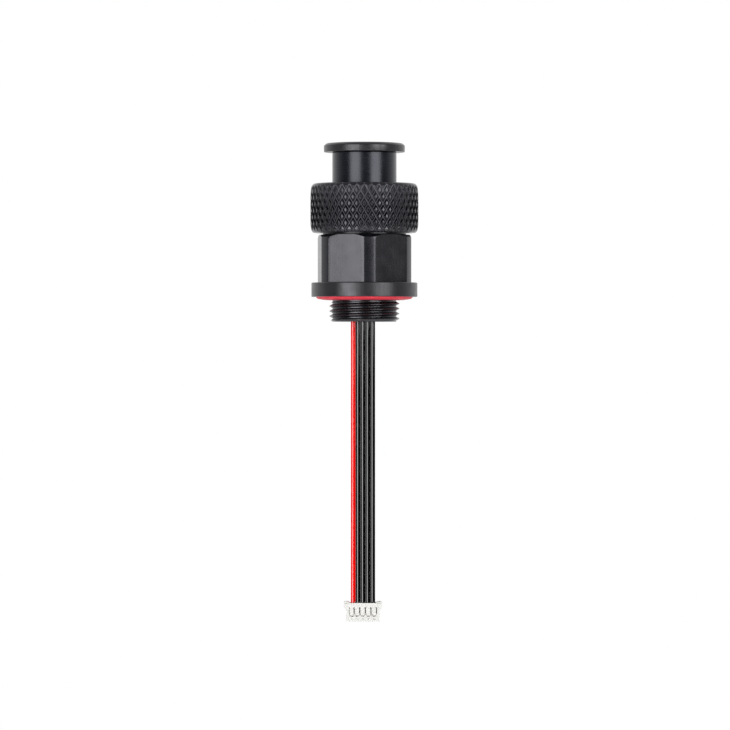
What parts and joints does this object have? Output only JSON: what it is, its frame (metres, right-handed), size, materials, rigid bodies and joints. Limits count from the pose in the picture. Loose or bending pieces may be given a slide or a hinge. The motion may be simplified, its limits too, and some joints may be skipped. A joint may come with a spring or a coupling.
{
  "type": "capped bulkhead connector",
  "caption": "Sealed panel connector closed by a dummy plug with a knurled locking sleeve, with a face seal, a threaded stem and flying leads to a small wire-to-board connector.",
  "frame": {"origin": "centre of the flange's underside, the plane that seats on the panel", "axes": "+Z along the connector's axis, out of the panel towards the pull cap; -Y is the side seen from the front, with the red lead at -X"},
  "size_m": [0.0216, 0.0216, 0.0956],
  "materials": {
    "anodised_black": "satin black anodised, turned and knurled",
    "seal_red": "smooth moulded",
    "seal_black": "smooth moulded, lightly greased",
    "moulding_black": "fine moulded",
    "spring_steel": "stamped",
    "gold_plate": "gold plated",
    "epoxy_black": "cast, glossy",
    "lead_red": "extruded, satin",
    "lead_black": "extruded, satin",
    "housing_white": "moulded",
    "tin_plate": "tin plated",
    "low_friction_washer": "machined"
  },
  "bodies": {
    "bulkhead": {"bulkhead_body": "anodised_black", "face_seal": "seal_red", "contact_insert": "moulding_black", "insert_o_ring": "seal_black", "insert_retaining_ring": "spring_steel", "contact_pin_1": "gold_plate", "contact_pin_2": "gold_plate", "contact_pin_3": "gold_plate", "contact_pin_4": "gold_plate", "contact_pin_5": "gold_plate", "rear_potting": "epoxy_black", "lead_red": "lead_red", "lead_black_1": "lead_black", "lead_black_2": "lead_black", "lead_black_3": "lead_black", "lead_black_4": "lead_black", "connector_housing": "housing_white", "crimp_terminal_1": "tin_plate", "crimp_terminal_2": "tin_plate", "crimp_terminal_3": "tin_plate", "crimp_terminal_4": "tin_plate", "crimp_terminal_5": "tin_plate"},
    "dummy_plug": {"plug_body": "anodised_black", "plug_o_ring_lower": "seal_black", "plug_o_ring_upper": "seal_black", "pull_cap": "anodised_black"},
    "slip_ring": {"thrust_washer": "low_friction_washer"},
    "sleeve": {"locking_sleeve": "anodised_black"}
  },
  "joints": [
    {"name": "plug_pull", "type": "slide", "parent": "bulkhead", "child": "dummy_plug", "axis": [0, 0, 1], "range_m": [0, 0.014]},
    {"name": "sleeve_lift", "type": "slide", "parent": "dummy_plug", "child": "slip_ring", "axis": [0, 0, 1], "range_m": [0, 0.0055]},
    {"name": "sleeve_turn", "type": "hinge", "parent": "slip_ring", "child": "sleeve", "pos_m": [0, 0, 0.018], "axis": [0, 0, 1], "range_deg": [0, 1980]}
  ],
  "couplings": [
    {"joint": "sleeve_lift", "follows": "sleeve_turn", "m_per_rad": 0.00015915}
  ]
}
